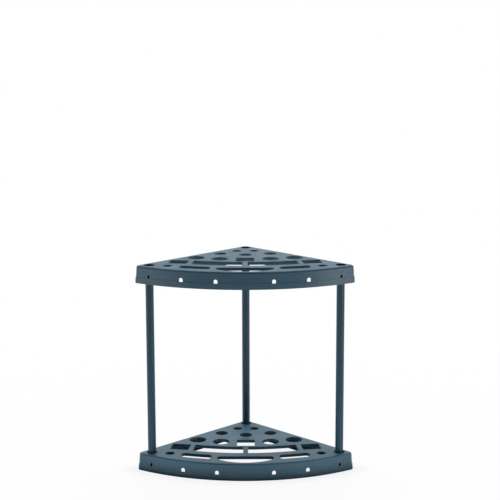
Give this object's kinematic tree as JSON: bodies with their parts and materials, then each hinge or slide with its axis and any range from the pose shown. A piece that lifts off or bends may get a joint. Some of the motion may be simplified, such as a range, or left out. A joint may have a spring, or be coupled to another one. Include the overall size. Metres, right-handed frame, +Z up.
{
  "type": "freestanding garden tool rack",
  "caption": "Corner rack for garden tools: two quarter-round shelves pierced with holes and slots, one above the other on slim tube posts.",
  "frame": {"origin": "bottom centre of the rack's box, on the floor it stands on", "axes": "+Z up; the curved front faces -Y and the square rear corner points to +Y; +X is to the right seen from the front"},
  "size_m": [0.697, 0.4678, 0.674],
  "materials": {
    "shelf_plastic": "moulded polypropylene, fine matt texture",
    "post_plastic": "extruded plastic tube, satin",
    "screw_steel": "zinc plated"
  },
  "bodies": {
    "root": {"bottom_shelf": "shelf_plastic", "top_shelf": "shelf_plastic", "left_post": "post_plastic", "right_post": "post_plastic", "back_post": "post_plastic", "bottom_left_screw": "screw_steel", "bottom_right_screw": "screw_steel", "bottom_back_screw": "screw_steel", "top_left_screw": "screw_steel", "top_right_screw": "screw_steel", "top_back_screw": "screw_steel"}
  },
  "joints": []
}
